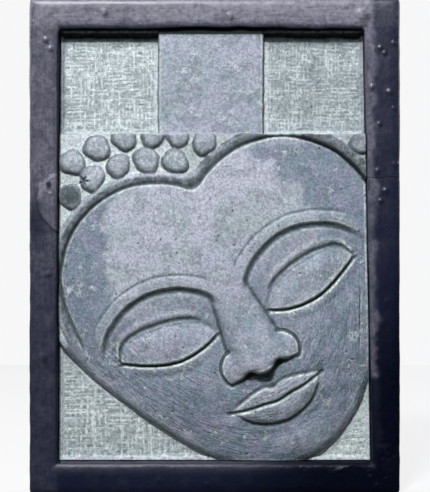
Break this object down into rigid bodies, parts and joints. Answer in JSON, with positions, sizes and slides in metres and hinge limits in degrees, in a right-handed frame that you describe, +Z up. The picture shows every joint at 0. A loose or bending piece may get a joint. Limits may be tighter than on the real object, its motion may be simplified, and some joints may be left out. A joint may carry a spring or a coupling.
{
  "type": "framed stone face relief plaque",
  "caption": "Wall plaque: a calm face with curled hair, leaning to one side, carved in grey stone below a plain raised block, in a dark cast surround.",
  "frame": {"origin": "middle of the flat back, in the plane that meets the wall", "axes": "+Z up along the plaque's height, +Y into the wall, +X to the right as seen from the front"},
  "size_m": [0.4, 0.056, 0.535],
  "materials": {
    "grey_stone": "matte",
    "black_paint": "satin"
  },
  "bodies": {
    "root": {"carved_panel": "grey_stone", "frame": "black_paint"}
  },
  "joints": []
}
